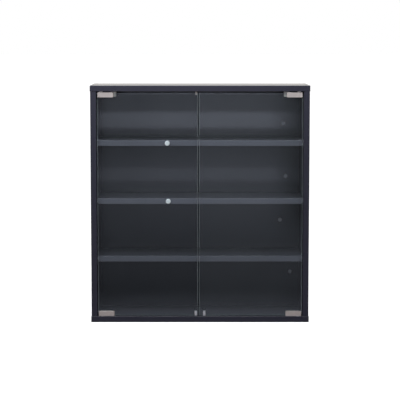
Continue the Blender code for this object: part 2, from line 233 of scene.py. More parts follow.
def cut(piece, cutter_shape):
    """Takes a shape out of a piece."""
    cutter = object_from(cutter_shape, "cutter")
    step = piece.modifiers.new("cut", "BOOLEAN")
    step.operation = "DIFFERENCE"
    step.solver = "EXACT"
    step.object = cutter
    settle(piece)
    put_in_order(piece)
    bpy.data.objects.remove(cutter, do_unlink=True)


def soften(piece, radius, steps=3, angle=35):
    """Rounds every edge that is sharper than an angle in degrees."""
    step = piece.modifiers.new("soften", "BEVEL")
    step.width = radius
    step.segments = steps
    step.limit_method = "ANGLE"
    step.angle_limit = math.radians(angle)
    settle(piece)


def finish_piece(piece, looks, body, slot, *nodes, angle=40):
    """Gives a piece its finishes and smooth faces, and puts it in its node's place."""
    for name in looks:
        piece.data.materials.append(look(name))
    piece.data.shade_smooth()
    piece.data.set_sharp_from_angle(angle=math.radians(angle))
    even = piece.modifiers.new("even_normals", "WEIGHTED_NORMAL")
    even.keep_sharp = True
    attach(piece, body)
    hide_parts(*nodes)
    return piece


def centre_of(node):
    low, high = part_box(node)
    return (low + high) / 2


def round_end(node, axis, direction):
    """The middle of the end of a round node that faces along its axis, its radius and length."""
    low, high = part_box(node)
    middle = (low + high) / 2
    middle[axis] = high[axis] if direction > 0 else low[axis]
    return middle, (high.x - low.x) / 2, high[axis] - low[axis]


def bore(shape, at, radius, depth, along, steps=SMALL_STEPS):
    """Adds a plain round cutter that starts at a point and runs along a direction."""
    add_turned(shape, ((0, 0), (radius, 0), (radius, depth), (0, depth)), at, along, steps)


def make_turned(name, node, outline, at, along, finish, body, slot, **shaping):
    """A round piece in its node's place."""
    shape = bmesh.new()
    add_turned(shape, outline, at, along, **shaping)
    finish_piece(object_from(shape, name), (finish,), body, slot, node)


def give_first_finish(shape, faces_so):
    """Gives a piece's first finish to the faces whose normals pass a test."""
    shape.normal_update()
    for face in shape.faces:
        if faces_so(face.normal):
            face.material_index = 0


# ---------------- finishes


class Signal:
    """A value, colour or vector in a node tree, which Python's operators join with Math nodes."""

    def __init__(self, tree, socket=None):
        self.tree = tree
        self.socket = socket

    def add(self, kind, settings=None, sockets=None, output=0):
        """Adds a node: its settings first, then the values or links of its sockets."""
        node = self.tree.nodes.new("ShaderNode" + kind)
        for name, value in (settings or {}).items():
            if name == "stops":
                self.set_stops(node.color_ramp, value)
            else:
                setattr(node, name, value)
        for name, value in (sockets or {}).items():
            self.feed(node.inputs[name], value)
        return Signal(self.tree, node.outputs[output])

    def feed(self, socket, value):
        if isinstance(value, Signal):
            self.tree.links.new(value.socket, socket)
        elif socket.type == "RGBA":
            socket.default_value = (*value[:3], 1.0)
        else:
            socket.default_value = value

    @staticmethod
    def set_stops(ramp, stops):
        while len(ramp.elements) < len(stops):
            ramp.elements.new(1.0)
        for element, (place, colour) in zip(ramp.elements, stops):
            element.position = place
            element.color = (*colour, 1.0)

    def maths(self, operation, *terms):
        return self.add("Math", {"operation": operation}, dict(enumerate(terms)))

    def __add__(self, other):
        return self.maths("ADD", self, other)

    __radd__ = __add__

    def __sub__(self, other):
        return self.maths("SUBTRACT", self, other)

    def __rsub__(self, other):
        return self.maths("SUBTRACT", other, self)

    def __mul__(self, other):
        return self.maths("MULTIPLY", self, other)

    __rmul__ = __mul__

    def __truediv__(self, other):
        return self.maths("DIVIDE", self, other)

    def __rtruediv__(self, other):
        return self.maths("DIVIDE", other, self)

    def between(self, one, two):
        """A colour that goes from one to two as this value goes from 0 to 1."""
        settings = {"data_type": "RGBA", "clamp_factor": True}
        return self.add("Mix", settings, {0: self, 6: one, 7: two}, output=2)

    def spread(self, low, high, to_low=0.0, to_high=1.0):
        """Maps this value from one range to another, smoothly and without going past it."""
        sockets = dict(enumerate((self, low, high, to_low, to_high)))
        return self.add("MapRange", {"interpolation_type": "SMOOTHSTEP"}, sockets)

    def noise(self, scale, detail=3.0, stretch=(1.0, 1.0, 1.0)):
        """A cloudy pattern with this many waves to a metre."""
        place = self.add("VectorMath", {"operation": "MULTIPLY"}, {0: self, 1: stretch})
        sockets = {"Vector": place, "Scale": scale, "Detail": detail}
        return self.add("TexNoise", sockets=sockets)

    def specks(self, scale, size):
        """Small round marks, one to each cell of a pattern with this many cells to a metre."""
        cells = self.add("TexVoronoi", sockets={"Vector": self, "Scale": scale})
        return cells.spread(size, size * 0.4)

    def relief(self, depth, strength=1.0):
        """The normals of a surface that this value raises by up to a depth in metres."""
        return self.add(
            "Bump", sockets={"Height": self, "Distance": depth, "Strength": strength}
        )


def start_finish(name):
    """An empty material, and the place on the piece that its patterns are drawn from."""
    made = bpy.data.materials.new(name)
    made.use_nodes = True
    made.node_tree.nodes.clear()
    return made, Signal(made.node_tree).add("TexCoord", output="Object")


def end_finish(made, shader):
    output = made.node_tree.nodes.new("ShaderNodeOutputMaterial")
    made.node_tree.links.new(shader.socket, output.inputs["Surface"])
    return made


def painted(name, make):
    """A material with one Principled shader, whose sockets make works out from the place."""
    made, place = start_finish(name)
    shader = place.add("BsdfPrincipled", sockets=make(place))
    return end_finish(made, shader)


def lighter(colour, by):
    return tuple(min(part * by, 1.0) for part in colour[:3])


def shaded(tone, colour, darkest, palest):
    """Takes a colour from a darker shade of it to a paler one, by a pattern."""
    return tone.between(lighter(colour, darkest), lighter(colour, palest))


def chosen_colours():
    return bpy.context.scene.cabinet_colours


def coated_board(name):
    """Melamine faces: a fine pearl texture, cloudy sheen and a few rubbed marks."""
    colour = chosen_colours().board

    def sockets(place):
        cloud = place.noise(9.0, 4.0)
        pearl = place.noise(1400.0, 2.0)
        rubbed = place.noise(60.0, 5.0, (0.25, 1.0, 1.0)).spread(0.60, 0.78)
        tone = cloud * 0.6 + pearl * 0.4
        return {
            "Base Color": shaded(tone, colour, 0.86, 1.16),
            "Roughness": 0.27 + cloud * 0.08 + pearl * 0.05 - rubbed * 0.06,
            "Normal": pearl.relief(0.00003, 0.5),
            "Specular IOR Level": 0.5,
        }

    return painted(name, sockets)


def banding(name, colour):
    """Plastic edge band: finer than the faces, faintly ribbed along its length."""

    def sockets(place):
        ribs = place.noise(900.0, 2.0, (0.03, 1.0, 1.0))
        cloud = place.noise(14.0, 3.0)
        worn = place.noise(130.0, 5.0).spread(0.62, 0.80)
        tone = cloud * 0.7 + worn * 0.5
        return {
            "Base Color": shaded(tone, colour, 0.90, 1.22),
            "Roughness": 0.15 + ribs * 0.08 + cloud * 0.04,
            "Normal": ribs.relief(0.00002, 0.4),
        }

    return painted(name, sockets)


def edge_band(name):
    return banding(name, chosen_colours().band)


def shelf_band(name):
    return banding(name, chosen_colours().shelf_band)


def back_lacquer(name):
    """The back panel's face: a thin glossy lacquer over board, with dust specks."""
    colour = chosen_colours().back_panel

    def sockets(place):
        cloud = place.noise(5.0, 3.0)
        ripple = place.noise(12.0, 1.0)
        dust = place.specks(90.0, 0.06)
        return {
            "Base Color": shaded(cloud * 0.8 + dust * 0.5, colour, 0.85, 1.2),
            "Roughness": 0.15 + cloud * 0.06 + dust * 0.2,
            "Normal": ripple.relief(0.00001, 0.1),
        }

    return painted(name, sockets)


def raw_board(name):
    """Pressed fibre, as on the back of the panel."""
    colour = chosen_colours().raw_board

    def sockets(place):
        fibre = place.noise(700.0, 6.0, (0.4, 1.0, 1.0))
        cloud = place.noise(18.0, 4.0)
        chips = place.specks(420.0, 0.35)
        tone = fibre * 0.6 + cloud * 0.3 + chips * 0.25
        return {
            "Base Color": shaded(tone, colour, 0.6, 1.5),
            "Roughness": 0.72 + fibre * 0.2,
            "Normal": (fibre + chips * 0.5).relief(0.0001, 0.4),
        }

    return painted(name, sockets)


def clear_glass(name):
    """A thin pane: it mirrors by the angle it is seen at and lets the rest through, tinted."""
    made, place = start_finish(name)
    glass_index = 1.52
    most_dust = 0.005
    right_leaf_haze = 0.006
    behind = place.add("NewGeometry", output="Backfacing")
    index = glass_index - behind * (glass_index - 1 / glass_index)
    mirrored = place.add("Fresnel", sockets={"IOR": index})
    across = place.add("SeparateXYZ", sockets={0: place}, output="X")
    right_leaf = across.spread(SEAM_X - SEAM_BLUR, SEAM_X + SEAM_BLUR)
    dust = place.noise(7.0, 4.0, (1.0, 1.0, 0.5)).spread(0.35, 0.75, 0.001, most_dust)
    haze = dust + right_leaf * right_leaf_haze
    clear = place.add("BsdfTransparent", sockets={"Color": (0.965, 0.985, 0.978)})
    gloss = place.add("BsdfGlossy", sockets={"Color": (1, 1, 1), "Roughness": 0.02})
    film = place.add("BsdfDiffuse", sockets={"Color": (0.75, 0.78, 0.80)})
    pane = place.add("MixShader", sockets={0: mirrored, 1: clear, 2: gloss})
    shader = place.add("MixShader", sockets={0: haze, 1: pane, 2: film})
    return end_finish(made, shader)


def glass_edge(name):
    """The ground and polished rim of a pane: pale grey-green, with fine marks along it."""
    colour = chosen_colours().glass_edge

    def sockets(place):
        ground = place.noise(2600.0, 3.0)
        cloud = place.noise(60.0, 3.0)
        return {
            "Base Color": shaded(cloud * 0.6 + ground * 0.4, colour, 0.75, 1.2),
            "Roughness": 0.18 + ground * 0.2,
            "Normal": ground.relief(0.00002, 0.4),
        }

    return painted(name, sockets)


def bare_metal(name, colour, dull, grain):
    """Metal with brush lines along X, uneven polish and small scratches."""

    def sockets(place):
        brushed = place.noise(2400.0, 3.0, (0.04, 1.0, 1.0))
        cloud = place.noise(90.0, 4.0)
        scratch = place.noise(700.0, 6.0, (1.0, 0.08, 0.5)).spread(0.66, 0.80)
        return {
            "Base Color": shaded(brushed * 0.5 + cloud * 0.5, colour, 0.86, 1.08),
            "Metallic": 1.0,
            "Roughness": dull + brushed * grain + cloud * 0.06 + scratch * 0.1,
            "Normal": (brushed * grain + scratch * 0.2).relief(0.00003, 0.5),
        }

    return painted(name, sockets)


def satin_nickel(name):
    return bare_metal(name, chosen_colours().nickel, 0.44, 0.12)


def bright_chrome(name):
    return bare_metal(name, (0.90, 0.91, 0.93), 0.30, 0.06)


def zinc_steel(name):
    return bare_metal(name, (0.58, 0.59, 0.60), 0.26, 0.12)


def beech_wood(name):
    """Turned beech with its grain along the dowel and short dark flecks."""

    def sockets(place):
        grain = place.noise(260.0, 4.0, (0.12, 1.0, 1.0))
        fleck = place.noise(1500.0, 2.0, (0.10, 1.0, 1.0)).spread(0.62, 0.75)
        return {
            "Base Color": (grain - fleck * 0.5).between((0.36, 0.22, 0.11), (0.62, 0.44, 0.26)),
            "Roughness": 0.55 + grain * 0.2,
            "Normal": grain.relief(0.0001, 0.4),
        }

    return painted(name, sockets)


def pale_floor(name):
    """A plain pale studio floor."""

    def sockets(place):
        cloud = place.noise(3.0, 2.0)
        return {
            "Base Color": cloud.between((0.60, 0.60, 0.60), (0.64, 0.64, 0.64)),
            "Roughness": 0.8,
            "Specular IOR Level": 0.0,
            "Emission Color": (1, 1, 1),
            "Emission Strength": 0.72,
        }

    return painted(name, sockets)


FINISHES = {
    maker.__name__: maker
    for maker in (
        coated_board,
        edge_band,
        shelf_band,
        back_lacquer,
        raw_board,
        clear_glass,
        glass_edge,
        satin_nickel,
        bright_chrome,
        zinc_steel,
        beech_wood,
        pale_floor,
    )
}


def look(name):
    """A finish by its name. The plastics come with the model, the others are made here."""
    return bpy.data.materials.get(name) or FINISHES[name](name)


# ---------------- settings


def size_prop(name, description, default):
    return FloatProperty(
        name=name, description=description, default=default, unit="LENGTH", precision=5
    )


def colour_prop(name, description, default):
    return FloatVectorProperty(
        name=name, description=description, default=default, subtype="COLOR", min=0.0, max=1.0
    )


class CabinetSizes(bpy.types.PropertyGroup):
    """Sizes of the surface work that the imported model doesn't hold."""

    band: size_prop("Edge band", "Thickness of the edge bands", 0.001)
    band_rounding: size_prop("Band rounding", "Radius of a band's outer edges", 0.0009)
    seam: size_prop("Seam", "Width of the line between a band and its board", 0.00005)
    face_rounding: size_prop("Face rounding", "Radius of a board's bare arrises", 0.0003)
    glass_arris: size_prop("Glass arris", "Width of the arris on a leaf's upright edges", 0.0008)
    fine_arris: size_prop("Fine arris", "Width of the arris on a leaf's level edges", 0.00015)
    clamp_rounding: size_prop("Clamp rounding", "Radius of the clamps' edges", 0.0005)
    panel_arris: size_prop("Panel arris", "Radius of the back panel's edges", 0.0003)
    tab_bend: size_prop("Tab bend", "Inner radius of the stop tab's bend", 0.0006)
    clip_bend: size_prop("Clip bend", "Inner radius of the clips' bends", 0.0002)


class CabinetColours(bpy.types.PropertyGroup):
    """Colours that a user would change."""

    board: colour_prop("Board", "The boards' faces", (0.036, 0.035, 0.044))
    band: colour_prop("Band", "The case's edge bands", (0.024, 0.0235, 0.035))
    shelf_band: colour_prop("Shelf band", "The shelves' front bands", (0.096, 0.098, 0.120))
    back_panel: colour_prop("Back panel", "The back panel's lacquered face", (0.018, 0.0195, 0.022))
    raw_board: colour_prop("Raw board", "Uncoated board", (0.060, 0.052, 0.046))
    glass_edge: colour_prop("Glass edge", "The leaves' ground rims", (0.24, 0.28, 0.28))
    nickel: colour_prop("Nickel", "The clamps and the stop tab", (0.66, 0.60, 0.555))


# ---------------- pieces


def add_banded_board(shape, low, high, banded, sizes):
    """A board whose chosen faces, as (axis, direction), each carry a thin rounded band."""
    low, high = low.copy(), high.copy()
    for axis, direction in banded:
        start, end = low.copy(), high.copy()
        inner = sizes.band * direction
        if direction < 0:
            face = low[axis]
            end[axis] = face - inner
            low[axis] = end[axis] + sizes.seam
        else:
            face = high[axis]
            start[axis] = face - inner
            high[axis] = start[axis] - sizes.seam

        def outer(edge, axis=axis, face=face):
            return all(abs(corner.co[axis] - face) < SAME_PLANE for corner in edge.verts)

        add_box(shape, start, end, sizes.band_rounding, 5, look=1, pick=outer)
    add_box(shape, low, high, sizes.face_rounding, 2)


def case_cutter():
    """The back panel's groove, the bushes' bores and the seats of the case screws."""
    shape = bmesh.new()
    low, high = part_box("back_panel")
    room = Vector((GAP, GAP, GAP))
    add_box(shape, low - room, high + room)
    for side in SIDES:
        for level, up in LEVELS.items():
            middle, flange, tall = round_end(f"pivot_bush_{side}_{level}", Z, -up)
            flange += HOLE_ROOM
            barrel = BUSH_RADIUS + HOLE_ROOM
            depth = tall + GAP
            start, seat = -GAP * 2, BUSH_FLANGE_HEIGHT + GAP
            if up > 0:
                bore(shape, middle, barrel, depth, (0, 0, up))
            else:
                outline = [(0, start), (flange, start), (flange, seat), (barrel, seat)]
                outline += [(barrel, depth), (0, depth)]
                add_turned(shape, outline, middle, (0, 0, up), SMALL_STEPS)
            for place in ("front", "rear"):
                middle, head, long = round_end(f"case_screw_{level}_{side}_{place}", Z, up)
                head += HOLE_ROOM
                start, deep = -2 * CUT_PAST, CASE_SCREW_HEAD_HEIGHT + 2 * HOLE_ROOM
                outline = ((0, start), (head, start), (head, deep), (0, deep))
                add_turned(shape, outline, middle, (0, 0, -up), SMALL_STEPS)
    return shape


def make_case_boards(sizes):
    front = (Y, -1)
    ends = ((X, -1), (X, 1))
    boards = {
        "top_panel": ("top_board", (front, *ends)),
        "bottom_panel": ("bottom_board", (front, *ends)),
        "left_side": ("left_side_board", (front,)),
        "right_side": ("right_side_board", (front,)),
    }
    for node, (name, banded) in boards.items():
        shape = bmesh.new()
        low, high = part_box(node)
        add_banded_board(shape, low, high, banded, sizes)
        piece = object_from(shape, name)
        cut(piece, case_cutter())
        finish_piece(piece, ("coated_board", "edge_band"), "case", "board", node)


def make_shelf_boards(sizes):
    for level in SHELVES:
        node = "shelf_" + level
        shape = bmesh.new()
        add_banded_board(shape, *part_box(node), ((Y, -1),), sizes)
        piece = object_from(shape, level + "_shelf")
        finish_piece(piece, ("coated_board", "shelf_band"), "case", "board", node)


def make_back_sheet(sizes):
    low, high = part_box("back_panel")
    shape = bmesh.new()
    add_box(shape, low, high, sizes.panel_arris, 2, look=1)
    give_first_finish(shape, lambda normal: normal.y < -0.9)
    piece = object_from(shape, "back_sheet")
    holes = bmesh.new()
    for number in CAPS:
        middle = centre_of(f"wall_cap_{number}")
        middle.y = low.y - CUT_WELL_PAST
        bore(holes, middle, CAP_STEM + HOLE_ROOM, 2 * CUT_WELL_PAST, (0, 1, 0))
    cut(piece, holes)
    finish_piece(piece, ("back_lacquer", "raw_board"), "case", "back_board", "back_panel")


def is_upright(edge):
    one, two = edge.verts
    return abs(one.co.z - two.co.z) > GAP


def make_leaves(sizes):
    for side in SIDES:
        node = side + "_glass"
        low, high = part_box(node)
        shape = bmesh.new()
        add_box(shape, low, high, sizes.glass_arris, 2, look=1, pick=is_upright)
        give_first_finish(shape, lambda normal: abs(normal.y) > 0.99)
        piece = object_from(shape, side + "_leaf")
        soften(piece, sizes.fine_arris, 1, angle=60)
        finish_piece(piece, ("clear_glass", "glass_edge"), side + "_door", "glass", node, angle=25)


def clamp_outline(width, height):
    """A clamp seen from the front: zero at its outer end and at the glass edge's side."""
    round_corner, small = 0.003, 0.001
    outer_nick, inner_nick = 0.0004, 0.0008
    points = [(0, outer_nick), (0, height - small)]
    points += arc((small, height - small), small, 180, 90, 4)
    points += arc((width - round_corner, height - round_corner), round_corner, 90, 0, 10)
    points += [(width, inner_nick), (width - inner_nick, 0), (outer_nick, 0)]
    return points


def make_glass_clamps(sizes):
    """U-shaped clamps over the leaves' corners, each with the screw that grips the glass."""
    for side, sign in SIDES.items():
        glass_low, glass_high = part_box(side + "_glass")
        for level, up in LEVELS.items():
            label = f"{side}_{level}"
            low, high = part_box("clamp_" + label)
            width, depth, height = high - low
            outer_x = high.x if sign > 0 else low.x
            outer_z = high.z if up > 0 else low.z
            shape = bmesh.new()
            right = Vector((-sign, 0, 0))
            tall = Vector((0, 0, -up))
            start_y = low.y if right.cross(tall).y > 0 else high.y
            at = (outer_x, start_y, outer_z)
            add_drawn(shape, clamp_outline(width, height), at, right, tall, depth)
            piece = object_from(shape, "glass_clamp_" + label)
            slot_low = Vector((-BEYOND_ALL, glass_low.y - GAP, -BEYOND_ALL))
            slot_high = Vector((BEYOND_ALL, glass_high.y + GAP, 2 * BEYOND_ALL))
            if up > 0:
                slot_high.z = glass_high.z + GAP
            else:
                slot_low.z = glass_low.z - GAP
            slot = bmesh.new()
            add_box(slot, slot_low, slot_high)
            cut(piece, slot)
            soften(piece, sizes.clamp_rounding, 4)
            cut(piece, clamp_holes(label, up, high))
            finish_piece(piece, ("satin_nickel",), side + "_door", "nickel", "clamp_" + label)
            make_clamp_screw(label, side)


def clamp_holes(label, up, clamp_high):
    """The pin's hole through the web and the screw's hole through the rear leg."""
    holes = bmesh.new()
    past_web, past_ends = 0.006, 0.0015
    middle = round_end("pivot_pin_" + label, Z, -up)[0]
    radius = PIN_RADIUS + HOLE_ROOM
    outline = ((0, -CUT_PAST), (radius, -CUT_PAST), (radius, past_web), (0, past_web))
    add_turned(holes, outline, middle, (0, 0, up), SMALL_STEPS)
    tip, radius, long = round_end("clamp_screw_" + label, Y, -1)
    reach = clamp_high.y - tip.y + past_ends
    tip.y = clamp_high.y + CUT_PAST
    bore(holes, tip, radius + HOLE_ROOM, reach, (0, -1, 0))
    return holes


def make_clamp_screw(label, side):
    """A grub screw with a six-sided socket."""
    node = "clamp_screw_" + label
    middle, radius, long = round_end(node, Y, 1)
    socket, socket_depth, socket_lip = 0.00085, 0.0016, 0.0001
    rim, pitch, thread_depth = 0.0003, 0.0005, 0.0002
    outline = [(0, socket_depth + thread_depth), (socket, socket_depth), (socket, socket_lip)]
    outline += [(socket + socket_lip, 0), (radius - rim, 0), (radius, rim)]
    turns = int((long - 2 * rim) / pitch)
    for turn in range(1, turns):
        start = rim + turn * pitch
        outline += [(radius - thread_depth, start), (radius, start + pitch / 2)]
    outline += [(radius - rim, long), (0, long)]
    name, body = "grub_screw_" + label, side + "_door"
    shaping = {"steps": SMALL_STEPS, "hexagon": (1, 2)}
    make_turned(name, node, outline, middle, (0, -1, 0), "zinc_steel", body, "steel", **shaping)


def make_pivots():
    """Each clamp's pin, and the plastic bush in the board that it turns in."""
    for side in SIDES:
        for level, up in LEVELS.items():
            make_pin(f"{side}_{level}", side, up)
            make_bush(f"{side}_{level}", up)


def make_pin(label, side, up):
    node = "pivot_pin_" + label
    middle, collar, tall = round_end(node, Z, -up)
    rim, lip, dome = 0.0002, 0.0001, 0.0009
    outline = [(0, 0), (PIN_RADIUS - rim, 0), (PIN_RADIUS, rim)]
    if collar > PIN_RADIUS + GAP:
        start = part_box("clamp_" + label)[1].z - middle.z + GAP
        end = start + PIN_COLLAR_HEIGHT
        outline += [(PIN_RADIUS, start), (collar - lip, start), (collar, start + lip)]
        outline += [(collar, end - rim), (collar - rim, end), (PIN_RADIUS, end)]
    outline += domed(PIN_RADIUS, tall - dome, tall, dome)
    name, body = "hinge_pin_" + label, side + "_door"
    shaping = {"steps": SMALL_STEPS}
    make_turned(name, node, outline, middle, (0, 0, up), "zinc_steel", body, "steel", **shaping)


def make_bush(label, up):
    node = "pivot_bush_" + label
    middle, flange, tall = round_end(node, Z, -up)
    rim, barbs, barb_pitch, barb_rise = 0.0003, 3, 0.0025, 0.001
    outline = [
        (0, BUSH_BORE_DEPTH),
        (BUSH_BORE, BUSH_BORE_DEPTH),
        (BUSH_BORE, rim),
        (BUSH_BORE + rim, 0),
    ]
    outline += [(flange - rim, 0), (flange, rim), (flange, BUSH_FLANGE_HEIGHT)]
    for barb in range(barbs):
        start = BUSH_FLANGE_HEIGHT + barb_rise + barb * barb_pitch
        outline += [(BUSH_RADIUS - rim, start), (BUSH_RADIUS, start + barb_rise)]
    outline += [(BUSH_RADIUS, tall - rim), (BUSH_RADIUS - rim, tall), (0, tall)]
    name, finish = "hinge_bush_" + label, "white_plastic"
    shaping = {"steps": SMALL_STEPS}
    make_turned(name, node, outline, middle, (0, 0, up), finish, "case", finish, **shaping)


def bent_strip(width, tall, sheet, bend):
    """The outline of a U of sheet: its legs stand up, and both of its corners are bent."""
    outer = bend + sheet
    inner_floor = sheet + bend
    points = [(0, tall)]
    points += arc((outer, outer), outer, 180, 270, 6)
    points += arc((width - outer, outer), outer, 270, 360, 6)
    points += [(width, tall), (width - sheet, tall)]
    points += arc((width - outer, inner_floor), bend, 0, -90, 6)
    points += arc((outer, inner_floor), bend, 270, 180, 6)
    points += [(sheet, tall)]
    return points


def make_clips(sizes):
    """Bright clips over the leaves' lower edges, which the latch's plungers meet."""
    for side in SIDES:
        node = "strike_clip_" + side
        low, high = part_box(node)
        width, depth, tall = high - low
        glass_low, glass_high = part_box(side + "_glass")
        sheet = glass_low.y - GAP - low.y
        shape = bmesh.new()
        outline = bent_strip(depth, tall, sheet, sizes.clip_bend)
        add_drawn(shape, outline, low, (0, 1, 0), (0, 0, 1), width)
        piece = object_from(shape, "plunger_clip_" + side)
        soften(piece, CLIP_ARRIS, 2)
        finish_piece(piece, ("bright_chrome",), side + "_door", "chrome", node)


def make_touch_latch():
    """The latch's housing with its two bores, and the sprung plungers."""
    low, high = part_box("latch_body")
    shape = bmesh.new()
    bores = bmesh.new()
    lip, rounding, rim = 0.0008, 0.001, 0.0003
    collar, collar_length = 0.0016, 0.002
    add_box(shape, low + Vector((0, lip, 0)), high, rounding, 4)
    for side in SIDES:
        tip, radius, long = round_end("latch_plunger_" + side, Y, -1)
        tip.y = low.y
        outer = radius + collar
        outline = [(0, 0), (outer - rim, 0), (outer, rim)]
        outline += [(outer, collar_length), (0, collar_length)]
        add_turned(shape, outline, tip, (0, 1, 0))
        tip.y = low.y - CUT_PAST
        deep = PLUNGER_BORE_DEPTH + CUT_PAST
        bore(bores, tip, radius + PLUNGER_BORE_ROOM, deep, (0, 1, 0), FINE_STEPS)
    ribs, inset, half_width = 5, 0.006, 0.0008
    rear_inset, root, stand = 0.004, 0.001, 0.0004
    for rib in range(ribs):
        x = low.x + inset + rib * (high.x - low.x - 2 * inset) / (ribs - 1)
        start = (x - half_width, low.y + inset, high.z - root)
        end = (x + half_width, high.y - rear_inset, high.z + stand)
        add_box(shape, start, end, rim, 2)
    piece = object_from(shape, "latch_housing")
    cut(piece, bores)
    finish_piece(piece, ("black_plastic",), "case", "black_plastic", "latch_body")
    for side in SIDES:
        make_plunger(side)


def make_plunger(side):
    """A round plunger with a domed tip and a groove behind it."""
    node = "latch_plunger_" + side
    middle, radius, long = round_end(node, Y, -1)
    dome, step = 0.0008, 0.0004
    neck = radius - step
    groove_start, groove_end = 0.0030, 0.0046
    outline = [(0, 0)]
    outline += [(radius - dome + a, b) for a, b in arc((0, dome), dome, -90, 0, 5)]
    outline += [(radius, groove_start), (neck, groove_start + step), (neck, groove_end - step)]
    outline += [(radius, groove_end), (radius, long - step), (neck, long), (0, long)]
    name, body = "plunger_" + side, side + "_plunger"
    make_turned(name, node, outline, middle, (0, 1, 0), "zinc_steel", body, "steel")


def make_door_stops(sizes):
    """Moulded blocks behind the upper clamps, and the bent tab behind the left leaf."""
    rounding, head, shank = 0.0012, 0.0034, 0.0017
    head_depth, cone_end, past_top = 0.0016, 0.0034, 0.012
    for side in SIDES:
        node = "stop_block_" + side
        low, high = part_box(node)
        shape = bmesh.new()
        add_box(shape, low, high, rounding, 4)
        piece = object_from(shape, "door_stop_" + side)
        middle = (low + high) / 2
        middle.z = low.z
        seat = bmesh.new()
        outline = ((0, -CUT_PAST), (head, -CUT_PAST), (head, head_depth), (shank, cone_end))
        outline += ((shank, past_top), (0, past_top))
        add_turned(seat, outline, middle, (0, 0, 1), SMALL_STEPS)
        cut(piece, seat)
        finish_piece(piece, ("white_plastic",), "case", "white_plastic", node)

    low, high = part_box("top_stop_tab")
    width, foot, drop = high - low
    sheet, arris, bend = 0.0013, 0.0003, sizes.tab_bend
    outer = sheet + bend
    outline = [(0, 0)]
    outline += arc((outer, drop - outer), outer, 180, 90, 6)
    outline += [(foot, drop), (foot, drop - sheet)]
    outline += arc((outer, drop - outer), bend, 90, 180, 6)
    outline += [(sheet, 0)]
    shape = bmesh.new()
    add_drawn(shape, outline, low, (0, 1, 0), (0, 0, 1), width)
    piece = object_from(shape, "stop_tab")
    soften(piece, arris, 3)
    finish_piece(piece, ("satin_nickel",), "case", "nickel", "top_stop_tab")


def make_shelf_buffers():
    """Round milky buffers on the shelves' edges, with a hollow in the middle."""
    for level in ("upper", "middle"):
        node = "buffer_" + level
        middle, radius, reach = round_end(node, Y, 1)
        rim, rise, hollow, deep = 0.0004, 0.0016, 0.0028, 0.0014
        outline = [(0, 0), (radius - rim, 0), (radius, rim)]
        outline += domed(radius, reach - rise, reach, rise)[:-1]
        outline += arc((hollow + rim, reach - rim), rim, 90, 180, 4)
        outline += [(hollow, reach - deep), (0, reach - deep)]
        name, finish = "shelf_buffer_" + level, "milky_plastic"
        make_turned(name, node, outline, middle, (0, -1, 0), finish, "case", finish)


def make_hole_caps():
    """Push-in caps over the fixing holes in the back panel."""
    panel_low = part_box("back_panel")[0]
    taper, taper_length, lip = 0.0003, 0.0006, 0.0001
    for number in CAPS:
        node = f"wall_cap_{number}"
        middle, radius, reach = round_end(node, Y, 1)
        seat = middle.y - panel_low.y + GAP
        outline = [(0, 0), (CAP_STEM - taper, 0), (CAP_STEM, taper_length), (CAP_STEM, seat)]
        outline += [(radius - lip, seat), (radius, seat + lip), (radius, seat + 4 * lip)]
        outline += domed(radius, seat + 5 * lip, reach, reach - seat - 7 * lip)
        name, finish = f"hole_cap_{number}", "grey_plastic"
        make_turned(name, node, outline, middle, (0, -1, 0), finish, "case", finish)


def make_case_screws():
    """Long screws with a flat head, a six-sided socket and a coarse thread."""
    shaping = {"steps": SMALL_STEPS, "hexagon": (1, 2)}
    for level, up in LEVELS.items():
        for side in SIDES:
            for place in ("front", "rear"):
                label = f"{level}_{side}_{place}"
                name, node = "frame_screw_" + label, "case_screw_" + label
                middle, head, long = round_end(node, Z, up)
                outline, along = case_screw_outline(head, long), (0, 0, -up)
                finish, body, slot = "zinc_steel", "case", "steel"
                make_turned(name, node, outline, middle, along, finish, body, slot, **shaping)


def case_screw_outline(head, long):
    """From the socket's floor over the flat head and down the thread to the point."""
    socket, socket_depth, socket_floor, socket_lip = 0.0020, 0.0027, 0.0031, 0.0002
    rim, fillet, shank = 0.0003, 0.0009, 0.006
    runout, plain_end, point, pitch = 0.0065, 0.010, 0.003, 0.003
    root, crest = pitch * 0.4, pitch * 0.7
    outline = [(0, socket_floor), (socket, socket_depth), (socket, socket_lip)]
    outline += [(socket + socket_lip, 0), (head - rim, 0), (head, rim)]
    outline.append((head, CASE_SCREW_HEAD_HEIGHT))
    neck = CASE_SCREW_HEAD_HEIGHT + fillet
    outline += [(CASE_SCREW_THREAD, neck), (CASE_SCREW_THREAD, neck + shank)]
    turns = int((long - neck - plain_end) / pitch)
    for turn in range(turns):
        start = neck + runout + turn * pitch
        outline += [(CASE_SCREW_CORE, start), (CASE_SCREW_CORE, start + root)]
        outline.append((CASE_SCREW_THREAD, start + crest))
    return outline + [(CASE_SCREW_CORE, long - point), (0, long)]


def finish_dowels():
    """The dowels keep their model shape and get their wood."""
    for node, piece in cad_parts.items():
        if node.startswith("dowel_"):
            for place in piece.material_slots:
                place.material = look("beech_wood")


# ---------------- studio

CAMERA_PLACE = (0.0, -4.2, 0.785)
CAMERA_TILT = 5.735
CAMERA_LENS = 135.95
CAMERA_SHIFT = -0.03
FLOOR_REACH = 60.0
ROOM_TINT = (0.90, 0.95, 1.17)
FLOOR_TINT = (1.14, 0.98, 0.87)
BACKDROP_TINT = (1.05, 1.02, 0.94)
LAMP_TINT = (0.90, 0.94, 1.0)
BACKDROP_LIGHT = 0.9
FLOOR_LIGHT = 0.38

# Where the room's light changes, as parts of a direction's length along X, Y and Z
STRIPS_LEFT_END = (-0.098, 0.0, 0.62, 1.0)
STRIPS_RIGHT_END = (0.0427, 0.0683, 1.0, 0.12)
ABOVE_STRIPS = (0.03, 0.05)
BELOW_STRIPS = (-0.113, -0.148)
BACKDROP_START = (-0.1, 0.3)
FLOOR_START = (-0.22, -0.40)

